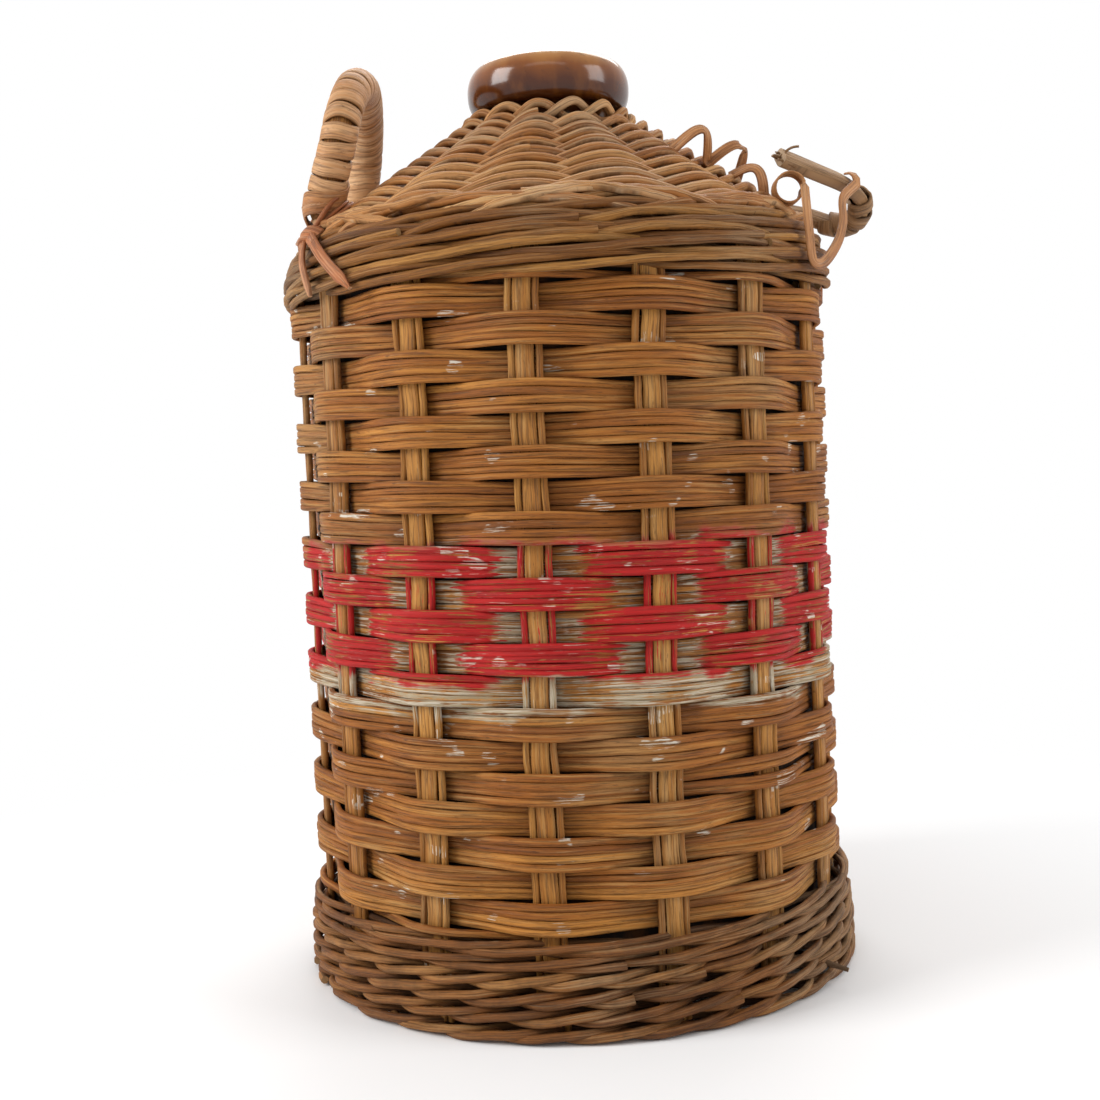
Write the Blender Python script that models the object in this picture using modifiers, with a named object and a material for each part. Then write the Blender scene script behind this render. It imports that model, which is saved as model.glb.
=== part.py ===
# Rum flagon: a glazed stoneware jar in a woven cane casing.
# Metres, +Z up, origin at the middle of the face it stands on.
# The front is -Y. An angle of 0 faces the front and grows towards +X.

import math

import bpy
import numpy as np

# Fit
clearance = 0.0003

# Stoneware jar
jar_radius = 0.0910
jar_wall = 0.010
jar_floor = 0.012
jar_base_round = 0.008
jar_shoulder_round = 0.016
jar_neck_round = 0.006
neck_radius = 0.024
bore_radius = 0.0155
rim_reach = 0.0064
rim_height = 0.018
neck_height = 0.0264
jar_segments = 30

# Upright stakes
stake_count = 15
stake_turn = math.radians(-7.7)
stake_width = 0.011
stake_thickness = 0.0025
stake_crown = 0.0006
stake_foot = 0.003
stake_tip_gap = 0.004
stake_tip_width_share = 0.62

# Cone of the casing over the jar's shoulder
cone_angle = math.radians(35)
casing_corner_height = 0.260
casing_bend_radius = 0.014

# Woven base
base_stick_thickness = 0.0045
base_stick_width = 0.006
base_hub_radius = 0.020
base_weave_thickness = 0.0030
base_weave_turns = 7
base_weave_edge_gap = 0.0020
turn_gap = 0.0007

# Foot of stout rods
foot_rod_radius = 0.0030
foot_rod_gap = 0.00075
foot_rod_radius_shares = (1, 1, 1, 0.92, 0.83, 0.73)
foot_rod_sides = 6

# Flat band woven round the body
band_thickness = 0.0025
band_piece_count = 5
band_steps = 292
band_start_stake = -3
band_way = -1
band_flat_margin = 0.0010
band_slack = 0.0004

# Border of stout rods on the shoulder
border_rod_radius = 0.0022
border_rod_count = 5
border_rod_sides = 5
border_rod_pitch = 0.00475
border_drop = 0.0132

# Paired weave on the cone
cone_weave_thickness = 0.0035
cone_weave_turns = 10
cone_weave_piece_count = 2
cone_top_gap = 0.0065

# Handles
handle_core_radius = 0.005
handle_half_spread = 0.038
handle_arch_height = 0.0295
handle_arch_lift = 0.040
handle_arch_inset = 0.0198
handle_lean_in = 0.006
handle_foot_inset = 0.0098
handle_root_length = 0.008
wrap_thickness = 0.0018
wrap_width = 0.0056
wrap_pitch = 0.0068
wrap_clearance = 0.0009
wrap_bare_end = 0.0115
wrap_loop_points = 16
lashing_radius = 0.0016
lashing_rise = 0.0048
lashing_tail_drop = 0.0010
lashing_wide_splay = math.radians(18)
lashing_narrow_splay = math.radians(12)
left_front_gap = -3
left_rear_gap = -5
right_gap = 4

# Broken right handle, its strap and its loose curls
broken_core_radius = 0.0032
broken_wrap_loops = 4
broken_wrap_start = 0.028
strap_radius = 0.0013
strap_coil_radius = 0.0050
strap_coil_pitch = 0.0040
strap_coil_loops = 2
coil_loop_points = 24
inner_curl_height = 0.0105
outer_curl_height = 0.0070
curl_points = 10
broken_span = 0.040
broken_route_shares = (
    (0.28, -0.02, -0.05),
    (0.575, -0.135, -0.17),
    (0.72, -0.29, -0.13),
    (0.71, -0.49, 0.005),
    (0.53, -0.72, 0.10),
    (0.18, -0.99, 0.19),
    (-0.16, -1.21, 0.28),
)
strap_turns = (75, 71, 66, 58.5, 54, 55.5, 59)
strap_radius_shares = (1.055, 1.058, 1.050, 1.040, 1.036, 1.013, 0.978)
strap_height_shares = (1.066, 1.030, 0.996, 0.965, 0.965, 1.007, 1.068)
inner_curl_turns = (44, 70)
inner_curl_radius_shares = (0.62, 0.74)
outer_curl_turns = (60, 60)
outer_curl_radius_shares = (0.75, 0.885)

# Values worked out from those above
stake_step = 2 * math.pi / stake_count
stake_inside = jar_radius + clearance + band_thickness + clearance + band_slack
stake_radius = stake_inside + stake_thickness / 2
stake_outside = stake_thickness / 2 + stake_crown + clearance
band_inner_radius = jar_radius + clearance + band_thickness / 2
band_outer_radius = stake_radius + stake_outside + band_thickness / 2
bend_turn = math.pi / 2 - cone_angle
bend_foot = casing_corner_height - casing_bend_radius * math.tan(bend_turn / 2)
cone_weave_face = stake_outside + cone_weave_thickness
border_face = stake_outside + 2 * border_rod_radius
border_foot = casing_corner_height - border_drop
stake_tip_radius = neck_radius + stake_tip_gap
cone_top_radius = neck_radius + cone_top_gap
handle_foot_radius = stake_radius - handle_foot_inset
handle_arch_reach = stake_radius - handle_arch_inset
handle_arch_foot = casing_corner_height + handle_arch_lift
foot_rod_radii = [foot_rod_radius * share for share in foot_rod_radius_shares]
foot_rod_half_heights = [radius * math.cos(math.pi / foot_rod_sides) for radius in foot_rod_radii]
foot_top = 2 * sum(foot_rod_half_heights) + foot_rod_gap * (len(foot_rod_radii) - 1)
jar_foot = base_stick_thickness + 2 * clearance + base_weave_thickness


def stake_angle(number):
    """The angle of a stake, counted from the one just left of the front."""
    return stake_turn + number * stake_step


def polar(radius, angle, height):
    return np.array((radius * math.sin(angle), -radius * math.cos(angle), height))


def casing_place(distance, offset):
    """Radius and height at a distance along a line that lies off the stakes by offset."""
    bend = casing_bend_radius + offset
    if distance < bend_foot:
        return stake_radius + offset, distance
    turn = min((distance - bend_foot) / bend, bend_turn)
    along = max(distance - bend_foot - bend * bend_turn, 0)
    radius = stake_radius - casing_bend_radius + bend * math.cos(turn)
    height = bend_foot + bend * math.sin(turn)
    return radius - along * math.cos(cone_angle), height + along * math.sin(cone_angle)


def cone_foot(offset):
    """The distance at which the line that lies off the stakes by offset becomes straight."""
    return bend_foot + (casing_bend_radius + offset) * bend_turn


def distance_at_radius(radius, offset):
    start = cone_foot(offset)
    return start + (casing_place(start, offset)[0] - radius) / math.cos(cone_angle)


def cone_seat(angle, radius, lift):
    """A point over the middle of a facet of the cone's weave, and the facet's outward normal."""
    to_middle = (angle - stake_turn) % stake_step - stake_step / 2
    distance = distance_at_radius(radius, cone_weave_face)
    corner_radius, height = casing_place(distance, cone_weave_face)
    flat_share = math.cos(stake_step / 2)
    facet_radius = corner_radius * flat_share / math.cos(to_middle)
    slope = math.atan2(math.sin(cone_angle), math.cos(cone_angle) * flat_share)
    facing = angle - to_middle
    normal = polar(math.sin(slope), facing, math.cos(slope))
    return polar(facet_radius, angle, height) + normal * lift, normal


def smooth_route(corners, steps):
    """Points on a smooth curve through the corners."""
    ends = [2 * corners[0] - corners[1]] + list(corners) + [2 * corners[-1] - corners[-2]]
    points = []
    for a, b, c, d in zip(ends, ends[1:], ends[2:], ends[3:]):
        for step in range(steps):
            t = step / steps
            bend = 2 * a - 5 * b + 4 * c - d
            twist = 3 * b - a - 3 * c + d
            points.append(b + ((c - a) * t + bend * t ** 2 + twist * t ** 3) / 2)
    points.append(np.array(corners[-1]))
    return points


def route_frames(points):
    """Lengths along a route, with two directions square to it that never twist."""
    points = np.array(points)
    steps = np.diff(points, axis=0)
    lengths = np.concatenate(((0,), np.cumsum(np.linalg.norm(steps, axis=1))))
    tangents = np.gradient(points, axis=0)
    tangents /= np.linalg.norm(tangents, axis=1)[:, None]
    side = np.cross(tangents[0], (0, 0, 1))
    if np.linalg.norm(side) < 0.5:
        side = np.cross(tangents[0], (1, 0, 0))
    sides = []
    for tangent in tangents:
        side = side - tangent * np.dot(side, tangent)
        side = side / np.linalg.norm(side)
        sides.append(side)
    return points, lengths, tangents, np.array(sides)


def beside_route(frames, length, turn, radius):
    """A point at a radius from the route, at a length along it and a turn about it."""
    points, lengths, tangents, sides = frames
    place = np.array([np.interp(length, lengths, column) for column in points.T])
    tangent = np.array([np.interp(length, lengths, column) for column in tangents.T])
    side = np.array([np.interp(length, lengths, column) for column in sides.T])
    tangent /= np.linalg.norm(tangent)
    side -= tangent * np.dot(side, tangent)
    side /= np.linalg.norm(side)
    other = np.cross(tangent, side)
    return place + (side * math.cos(turn) + other * math.sin(turn)) * radius


for leftover in list(bpy.data.objects):
    bpy.data.objects.remove(leftover, do_unlink=True)

flagon = bpy.data.collections.new("rum_flagon")
bpy.context.scene.collection.children.link(flagon)


def make_material(name, colour, roughness):
    material = bpy.data.materials.new(name)
    material.use_nodes = True
    shader = material.node_tree.nodes["Principled BSDF"]
    shader.inputs["Base Color"].default_value = (*colour, 1)
    shader.inputs["Roughness"].default_value = roughness
    shader.inputs["Metallic"].default_value = 0
    return material


glaze_brown = (0.30, 0.10, 0.03)
cane_gold = (0.43, 0.20, 0.07)
rod_brown = (0.22, 0.10, 0.04)
wrap_tan = (0.50, 0.26, 0.11)
base_brown = (0.24, 0.13, 0.06)


def finish(item, colour, roughness):
    """Puts an object in the flagon's collection with a material of its own."""
    item.data.materials.clear()
    item.data.materials.append(make_material(item.name + "_finish", colour, roughness))
    for holder in list(item.users_collection):
        holder.objects.unlink(item)
    flagon.objects.link(item)
    return item


def make_ribbon(name, rows, thickness, colour):
    """A strip of even thickness, whose middle surface has one row of points for each place."""
    columns = len(rows[0])
    points = [tuple(point) for row in rows for point in row]
    faces = []
    for row in range(len(rows) - 1):
        for column in range(columns - 1):
            corner = row * columns + column
            faces.append((corner, corner + columns, corner + columns + 1, corner + 1))
    mesh = bpy.data.meshes.new(name)
    mesh.from_pydata(points, [], faces)
    item = bpy.data.objects.new(name, mesh)
    solid = item.modifiers.new("thickness", "SOLIDIFY")
    solid.thickness = thickness
    solid.offset = 0
    solid.use_even_offset = True
    return finish(item, colour, 0.6)


def make_tube(name, points, radius, colour, resolution):
    curve = bpy.data.curves.new(name, "CURVE")
    curve.dimensions = "3D"
    curve.bevel_depth = radius
    curve.bevel_resolution = resolution
    curve.use_fill_caps = True
    spline = curve.splines.new("POLY")
    spline.points.add(len(points) - 1)
    for knot, point in zip(spline.points, points):
        knot.co = (*point, 1)
        knot.radius = 1
    return finish(bpy.data.objects.new(name, curve), colour, 0.6)


def make_ring(name, ring_radius, rod_radius, height, sides):
    """One round of a rod, with a corner of its outline at each stake and between stakes."""
    bpy.ops.mesh.primitive_torus_add(
        location=(0, 0, height), rotation=(0, 0, stake_turn - math.pi / 2),
        major_radius=ring_radius, minor_radius=rod_radius,
        major_segments=2 * stake_count, minor_segments=sides)
    ring = bpy.context.object
    ring.name = name
    ring.data.shade_smooth()
    return finish(ring, rod_brown, 0.7)


# Stoneware jar
def arc(centre, radii, start, end, count):
    """Points on an ellipse's arc in the plane of radius and height."""
    turns = np.linspace(start, end, count)
    return [(centre[0] + radii[0] * math.cos(t), centre[1] + radii[1] * math.sin(t)) for t in turns]


def rounded(before, corner, after, radius, count):
    """An arc that rounds a corner of an outline."""
    corner = np.array(corner)
    back = np.array(before) - corner
    on = np.array(after) - corner
    back /= np.linalg.norm(back)
    on /= np.linalg.norm(on)
    half = math.acos(float(np.dot(back, on))) / 2
    middle = back + on
    centre = corner + middle / np.linalg.norm(middle) * radius / math.sin(half)
    first = corner + back * radius / math.tan(half) - centre
    last = corner + on * radius / math.tan(half) - centre
    start = math.atan2(first[1], first[0])
    turn = math.atan2(last[1], last[0]) - start
    turn = (turn + math.pi) % (2 * math.pi) - math.pi
    return arc(centre, (radius, radius), start, start + turn, count)


def jar_cone_height(radius):
    """The height of the jar's sloping shoulder at a radius."""
    start = casing_place(cone_foot(0), 0)
    off = stake_thickness / 2 + clearance
    seat = (start[0] - off * math.sin(cone_angle), start[1] - off * math.cos(cone_angle))
    return seat[1] + (seat[0] - radius) * math.tan(cone_angle)


jar_top = jar_cone_height(neck_radius) + neck_height
rim_centre = (neck_radius + rim_reach - rim_height / 3, jar_top - rim_height / 2)
rim_radii = (rim_height / 3, rim_height / 2)
shoulder_corner = (jar_radius, jar_cone_height(jar_radius))
neck_corner = (neck_radius, jar_cone_height(neck_radius))
base_corner = (jar_radius, jar_foot)
inner_radius = jar_radius - jar_wall
inner_floor = jar_foot + jar_floor
inner_drop = jar_wall / math.cos(cone_angle)
inner_shoulder = (inner_radius, jar_cone_height(inner_radius) - inner_drop)
inner_neck = (bore_radius, jar_cone_height(bore_radius) - inner_drop)

jar_outline = [(0, inner_floor)]
jar_outline += rounded((0, inner_floor), (inner_radius, inner_floor), inner_shoulder, jar_base_round, 3)
jar_outline += rounded((inner_radius, inner_floor), inner_shoulder, inner_neck, jar_shoulder_round, 3)
jar_outline += [inner_neck, (bore_radius, jar_top - rim_radii[0] / 2)]
jar_outline += arc(rim_centre, rim_radii, math.pi * 0.62, -math.pi * 0.38, 9)
rim_foot = (neck_radius, jar_top - rim_height)
jar_outline += rounded(rim_foot, neck_corner, shoulder_corner, jar_neck_round, 3)
jar_outline += rounded(neck_corner, shoulder_corner, base_corner, jar_shoulder_round, 5)
jar_outline += rounded(shoulder_corner, base_corner, (0, jar_foot), jar_base_round, 3)
jar_outline += [(0, jar_foot)]

jar_mesh = bpy.data.meshes.new("stoneware_jar")
jar_points = [(radius, 0, height) for radius, height in jar_outline]
jar_mesh.from_pydata(jar_points, [(n, n + 1) for n in range(len(jar_points) - 1)], [])
jar = bpy.data.objects.new("stoneware_jar", jar_mesh)
turning = jar.modifiers.new("turning", "SCREW")
turning.axis = "Z"
turning.angle = 2 * math.pi
turning.steps = jar_segments
turning.render_steps = jar_segments
turning.use_merge_vertices = True
turning.merge_threshold = 0.0001
turning.use_smooth_shade = True
finish(jar, glaze_brown, 0.15)


# Woven base: sticks that cross at a hub, and a band wound on them
base_reach = stake_radius - stake_thickness / 2 - clearance
hub_outline = []
for number in range(stake_count):
    lean = math.asin(base_stick_width / 2 / base_reach)
    hub_lean = math.asin(base_stick_width / 2 / base_hub_radius)
    middle = stake_angle(number)
    hub_outline.append(polar(base_hub_radius, middle - hub_lean, 0))
    hub_outline.append(polar(base_reach, middle - lean, 0))
    hub_outline.append(polar(base_reach, middle + lean, 0))
    hub_outline.append(polar(base_hub_radius, middle + hub_lean, 0))

stick_curve = bpy.data.curves.new("base_sticks", "CURVE")
stick_curve.dimensions = "2D"
stick_curve.fill_mode = "BOTH"
stick_curve.extrude = base_stick_thickness / 2
stick_line = stick_curve.splines.new("POLY")
stick_line.points.add(len(hub_outline) - 1)
for knot, point in zip(stick_line.points, hub_outline):
    knot.co = (*point, 1)
stick_line.use_cyclic_u = True
sticks = bpy.data.objects.new("base_sticks", stick_curve)
sticks.location = (0, 0, base_stick_thickness / 2)
finish(sticks, base_brown, 0.7)

base_weave_foot = base_stick_thickness + clearance
base_weave_outer = base_reach - base_weave_edge_gap
base_weave_pitch = (base_weave_outer - base_hub_radius) / (base_weave_turns + 1)
base_weave_width = base_weave_pitch - turn_gap
base_rows = []
base_turn_points = stake_count
for step in range(base_weave_turns * base_turn_points + 1):
    turn = step / base_turn_points
    middle = base_hub_radius + base_weave_pitch * (turn + 0.5)
    angle = turn * 2 * math.pi
    level = base_weave_foot + base_weave_thickness / 2
    inner_edge = polar(middle - base_weave_width / 2, angle, level)
    outer_edge = polar(middle + base_weave_width / 2, angle, level)
    base_rows.append((inner_edge, outer_edge))
make_ribbon("base_weave", base_rows, base_weave_thickness, base_brown)


# Upright stakes: up the body, over the shoulder and up the cone
def stake_rows(number):
    angle = stake_angle(number)
    bend_end = cone_foot(0)
    tip = distance_at_radius(stake_tip_radius, 0)
    places = [stake_foot, bend_foot / 2, bend_foot]
    places += [bend_foot + (bend_end - bend_foot) * share for share in (1 / 3, 2 / 3, 1)]
    places += [bend_end + (tip - bend_end) * share for share in (1 / 2, 1)]
    rows = []
    across = np.array((math.cos(angle), math.sin(angle), 0))
    for distance in places:
        climb = max(distance - bend_end, 0) / (tip - bend_end)
        half_width = stake_width / 2 * (1 - climb * (1 - stake_tip_width_share))
        lean = min(max(distance - bend_foot, 0) / casing_bend_radius, bend_turn)
        edge = polar(casing_place(distance, 0)[0], angle, casing_place(distance, 0)[1])
        crown = edge + polar(stake_crown * math.cos(lean), angle, stake_crown * math.sin(lean))
        rows.append((edge - across * half_width, crown, edge + across * half_width))
    return rows


for number in range(stake_count):
    make_ribbon(f"stake_{number + 1:02d}", stake_rows(number), stake_thickness, cane_gold)


# Foot of stout rods round the stakes
rod_foot = 0
for number, (rod_radius, half_height) in enumerate(zip(foot_rod_radii, foot_rod_half_heights)):
    ring_radius = stake_radius + stake_outside + rod_radius
    level = rod_foot + half_height
    make_ring(f"foot_rod_{number + 1}", ring_radius, rod_radius, level, foot_rod_sides)
    rod_foot = level + half_height + foot_rod_gap


# Flat band woven over and under the stakes in one long spiral
band_foot = foot_top + clearance
band_top = border_foot - clearance
band_turns = band_steps / stake_count
band_pitch = (band_top - band_foot + turn_gap) / (band_turns + 1)
band_height = band_pitch - turn_gap
flat_half = stake_width / 2 + band_flat_margin


def band_place(step, side):
    """The band at a stake, or before it on side -1, or after it on side 1."""
    angle = stake_angle(band_way * (band_start_stake + step))
    radius = band_inner_radius if step % 2 == 0 else band_outer_radius
    across = np.array((math.cos(angle), math.sin(angle), 0))
    climb = (step + side * flat_half / (stake_radius * stake_step)) / stake_count
    level = band_foot + band_height / 2 + band_pitch * climb
    middle = polar(radius, angle, level) + across * band_way * side * flat_half
    half = np.array((0, 0, band_height / 2))
    return middle - half, middle + half


def band_rows(first, last):
    """The band from behind one stake to behind another, flat where it passes over a stake."""
    rows = [band_place(first, clearance / flat_half)]
    for step in range(first + 1, last):
        if step % 2 == 0:
            rows.append(band_place(step, 0))
        else:
            rows += [band_place(step, -1), band_place(step, 1)]
    rows.append(band_place(last, -clearance / flat_half))
    return rows


piece_steps = 2 * math.ceil(band_steps / band_piece_count / 2)
for number in range(band_piece_count):
    first = number * piece_steps
    last = min(first + piece_steps, band_steps)
    make_ribbon(f"body_weave_{number + 1}", band_rows(first, last), band_thickness, cane_gold)


# Border of stout rods on the shoulder
for number in range(border_rod_count):
    distance = border_foot + border_rod_radius + number * border_rod_pitch
    ring_radius, level = casing_place(distance, stake_outside + border_rod_radius)
    make_ring(f"border_rod_{number + 1}", ring_radius, border_rod_radius, level, border_rod_sides)


# Weave on the cone, wound over the stakes in a spiral
cone_offset = stake_outside + cone_weave_thickness / 2
cone_start = cone_foot(cone_offset)
cone_end = distance_at_radius(cone_top_radius, cone_offset)
cone_pitch = (cone_end - cone_start + turn_gap) / (cone_weave_turns + 1)
cone_width = cone_pitch - turn_gap


def cone_row(step, nudge):
    angle = stake_angle(step) + nudge
    middle = cone_start + cone_width / 2 + cone_pitch * step / stake_count
    low_radius, low_height = casing_place(middle - cone_width / 2, cone_offset)
    high_radius, high_height = casing_place(middle + cone_width / 2, cone_offset)
    return polar(low_radius, angle, low_height), polar(high_radius, angle, high_height)


cone_steps = cone_weave_turns * stake_count
for number in range(cone_weave_piece_count):
    first = number * cone_steps // cone_weave_piece_count
    last = (number + 1) * cone_steps // cone_weave_piece_count
    rows = [cone_row(step, 0) for step in range(first, last)]
    rows.append(cone_row(last, -clearance / stake_tip_radius))
    make_ribbon(f"cone_weave_{number + 1}", rows, cone_weave_thickness, cane_gold)


# Sound left handle: a core, a cane wrap and two lashings
def gap_angle(number):
    """The angle midway between a stake and the next."""
    return stake_angle(number + 0.5)


def handle_root(number):
    """The lowest points of a handle's core, straight and square to the cone that it stands on."""
    seat, normal = cone_seat(gap_angle(number), handle_foot_radius, clearance)
    return [seat + normal * handle_root_length * share for share in (0, 1 / 2, 1)]


left_front = handle_root(left_front_gap)
left_rear = handle_root(left_rear_gap)
arch = []
for turn in np.linspace(math.pi, 0, 9):
    rise = handle_arch_height * math.sin(turn)
    lean = handle_lean_in * math.sin(turn)
    along = handle_half_spread * math.cos(turn)
    arch.append(np.array((lean - handle_arch_reach, along, handle_arch_foot + rise)))
left_curve = smooth_route(left_front[1:] + arch + left_rear[:0:-1], 2)
left_route = left_front[:1] + left_curve + left_rear[:1]
make_tube("left_handle_core", left_route, handle_core_radius, rod_brown, 2)


def wind(name, route, core_radius, start, loops):
    """A flat cane wound on a core, and the least gap between two of its turns."""
    frames = route_frames(route)
    radius = core_radius + wrap_clearance + wrap_thickness / 2

    def edge(length, turn):
        return beside_route(frames, length, turn, radius)

    rows = []
    gaps = []
    for step in range(loops * wrap_loop_points + 1):
        turn = 2 * math.pi * step / wrap_loop_points
        length = start + wrap_pitch * step / wrap_loop_points
        rows.append((edge(length - wrap_width / 2, turn), edge(length + wrap_width / 2, turn)))
        next_edge = edge(length + wrap_pitch - wrap_width / 2, turn)
        gaps.append(float(np.linalg.norm(next_edge - rows[-1][1])))
    make_ribbon(name, rows, wrap_thickness, wrap_tan)
    print(name, "least gap between turns in mm:", round(1000 * min(gaps), 2))


left_length = route_frames(left_route)[1][-1]
left_loops = int((left_length - 2 * wrap_bare_end - wrap_width) / wrap_pitch)
left_start = (left_length - left_loops * wrap_pitch) / 2
wind("left_handle_wrap", left_route, handle_core_radius, left_start, left_loops)


def make_lashing(name, number, core_radius, splays):
    """A cane round the back of a handle's foot, with two tails that turn by splays over the border."""
    angle = gap_angle(number)
    seat, normal = cone_seat(angle, handle_foot_radius, lashing_rise)
    across = np.array((math.cos(angle), math.sin(angle), 0))
    uphill = np.cross(across, normal)
    if uphill[2] < 0:
        uphill = -uphill
    reach = core_radius + clearance + lashing_radius
    loop = []
    for turn in np.linspace(0, math.pi, 7):
        loop.append(seat + (across * math.cos(turn) + uphill * math.sin(turn)) * reach)
    tail = []
    tail_offset = border_face + clearance + lashing_radius
    tail_top = distance_at_radius(handle_foot_radius, cone_weave_face) - reach
    tail_end = border_foot - lashing_tail_drop
    for distance in np.linspace(tail_top, tail_end, 5):
        share = (distance - tail_top) / (tail_end - tail_top)
        tail.append((*casing_place(distance, tail_offset), share))
    lean = reach / stake_radius
    first = [polar(radius, angle + lean + splays[0] * share, level) for radius, level, share in tail]
    last = [polar(radius, angle - lean + splays[1] * share, level) for radius, level, share in tail]
    make_tube(name, first[::-1] + loop + last, lashing_radius, wrap_tan, 1)


front_splays = (lashing_wide_splay, lashing_narrow_splay)
rear_splays = (-lashing_narrow_splay, -lashing_wide_splay)
make_lashing("left_front_lashing", left_front_gap, handle_core_radius, front_splays)
make_lashing("left_rear_lashing", left_rear_gap, handle_core_radius, rear_splays)


# Broken right handle with a wrap left on it, its lashing, a hanging strap and two loose curls
right_root = handle_root(right_gap)
broken_points = [right_root[-1] + np.array(shares) * broken_span for shares in broken_route_shares]
right_route = right_root[:1] + smooth_route(right_root[1:] + broken_points, 2)
make_tube("right_handle_core", right_route, broken_core_radius, rod_brown, 2)
wind("right_handle_wrap", right_route, broken_core_radius, broken_wrap_start, broken_wrap_loops)
make_lashing("right_lashing", right_gap, broken_core_radius, (0, 0))

# The strap is hooked over the shaft, hangs down outside the border and ends in a small coil
shaft_way = broken_points[5] - broken_points[3]
shaft_way /= np.linalg.norm(shaft_way)
shaft_side = np.cross((0, 0, 1), shaft_way)
shaft_side /= np.linalg.norm(shaft_side)
shaft_side *= math.copysign(1, shaft_side[0])
shaft_top = np.cross(shaft_way, shaft_side)
shaft_top *= math.copysign(1, shaft_top[2])
hook_reach = broken_core_radius + clearance + strap_radius
strap_tube = []
for turn in np.linspace(math.pi / 2, 0, 4):
    hook_way = shaft_side * math.cos(turn) + shaft_top * math.sin(turn)
    strap_tube.append(broken_points[4] + hook_way * hook_reach)
strap_places = zip(strap_turns, strap_radius_shares, strap_height_shares)
strap_points = [strap_tube.pop()]
for turn, radius_share, height_share in strap_places:
    radius = (stake_radius + border_face) * radius_share
    strap_points.append(polar(radius, math.radians(turn), casing_corner_height * height_share))
strap_tube += smooth_route(strap_points, 2)
coil_start = strap_tube[-1]
coil_centre = coil_start + np.array((-strap_coil_radius, 0, 0))
for step in range(1, strap_coil_loops * coil_loop_points + 1):
    turn = 2 * math.pi * step / coil_loop_points
    drift = strap_coil_pitch * step / coil_loop_points
    swing = np.array((math.cos(turn), 0, math.sin(turn))) * strap_coil_radius
    strap_tube.append(coil_centre + swing + np.array((0, drift, 0)))
make_tube("right_strap", strap_tube, strap_radius, wrap_tan, 1)
strap_gap = strap_coil_pitch - 2 * strap_radius
print("right_strap least gap between turns in mm:", round(1000 * strap_gap, 2))


def make_curl(name, turns, radius_shares, humps, hump_height):
    """A loose cane that stands off the cone in humps, with both ends down on it."""
    points = []
    count = curl_points * humps
    for step in range(count + 1):
        share = step / count
        angle = math.radians(turns[0] + (turns[1] - turns[0]) * share)
        radius = stake_radius * (radius_shares[0] + (radius_shares[1] - radius_shares[0]) * share)
        lift = clearance + strap_radius + hump_height * abs(math.sin(math.pi * humps * share))
        points.append(cone_seat(angle, radius, lift)[0])
    make_tube(name, points, strap_radius, wrap_tan, 1)


make_curl("right_curl_inner", inner_curl_turns, inner_curl_radius_shares, 2, inner_curl_height)
make_curl("right_curl_outer", outer_curl_turns, outer_curl_radius_shares, 1, outer_curl_height)
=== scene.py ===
from math import acos, atan2, ceil, copysign, cos, pi, radians, sin, tan

import bpy
import numpy as np
from mathutils import Matrix


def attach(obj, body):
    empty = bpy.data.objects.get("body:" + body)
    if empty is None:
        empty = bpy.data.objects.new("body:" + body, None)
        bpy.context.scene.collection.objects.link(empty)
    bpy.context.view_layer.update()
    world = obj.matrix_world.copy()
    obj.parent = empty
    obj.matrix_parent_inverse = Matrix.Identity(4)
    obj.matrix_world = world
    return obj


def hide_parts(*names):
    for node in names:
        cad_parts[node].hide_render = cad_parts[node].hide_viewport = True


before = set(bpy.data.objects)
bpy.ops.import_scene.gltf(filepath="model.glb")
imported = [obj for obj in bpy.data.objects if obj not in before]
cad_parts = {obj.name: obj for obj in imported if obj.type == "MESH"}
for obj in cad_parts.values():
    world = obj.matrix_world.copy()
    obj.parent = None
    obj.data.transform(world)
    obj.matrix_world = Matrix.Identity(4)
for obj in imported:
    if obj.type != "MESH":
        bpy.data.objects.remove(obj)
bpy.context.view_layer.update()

# Sizes of the CAD model, in metres
clearance = 0.0003
jar_radius = 0.0910
jar_wall = 0.010
jar_floor = 0.012
jar_base_round = 0.008
jar_shoulder_round = 0.016
jar_neck_round = 0.006
neck_radius = 0.024
bore_radius = 0.0155
rim_reach = 0.0064
rim_height = 0.018
neck_height = 0.0264
stake_count = 15
stake_turn = radians(-7.7)
stake_thickness = 0.0025
stake_crown = 0.0006
stake_foot = 0.003
stake_tip_gap = 0.004
stake_tip_width_share = 0.62
cone_angle = radians(35)
casing_corner_height = 0.260
casing_bend_radius = 0.014
base_stick_thickness = 0.0045
base_stick_width = 0.006
base_hub_radius = 0.020
base_weave_thickness = 0.0030
base_weave_turns = 7
base_weave_edge_gap = 0.0020
turn_gap = 0.0007
foot_rod_radius = 0.0030
foot_rod_gap = 0.00075
foot_rod_radius_shares = (1, 1, 1, 0.92, 0.83, 0.73)
foot_rod_sides = 6
band_thickness = 0.0025
band_piece_count = 5
band_steps = 292
band_start_stake = -3
band_way = -1
band_flat_half = 0.0065
band_slack = 0.0004
border_rod_radius = 0.0022
border_rod_count = 5
border_rod_pitch = 0.00475
border_drop = 0.0132
cone_weave_thickness = 0.0035
cone_weave_turns = 10
cone_weave_piece_count = 2
cone_top_gap = 0.0065
handle_core_radius = 0.005
handle_half_spread = 0.038
handle_arch_height = 0.0295
handle_arch_lift = 0.040
handle_arch_inset = 0.0198
handle_lean_in = 0.006
handle_foot_inset = 0.0098
handle_root_length = 0.008
wrap_pitch = 0.0068
lashing_radius = 0.0016
lashing_rise = 0.0048
lashing_tail_drop = 0.0010
lashing_wide_splay = radians(18)
lashing_narrow_splay = radians(12)
left_front_gap = -3
left_rear_gap = -5
right_gap = 4
broken_core_radius = 0.0032
broken_wrap_loops = 4
broken_wrap_start = 0.028
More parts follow.
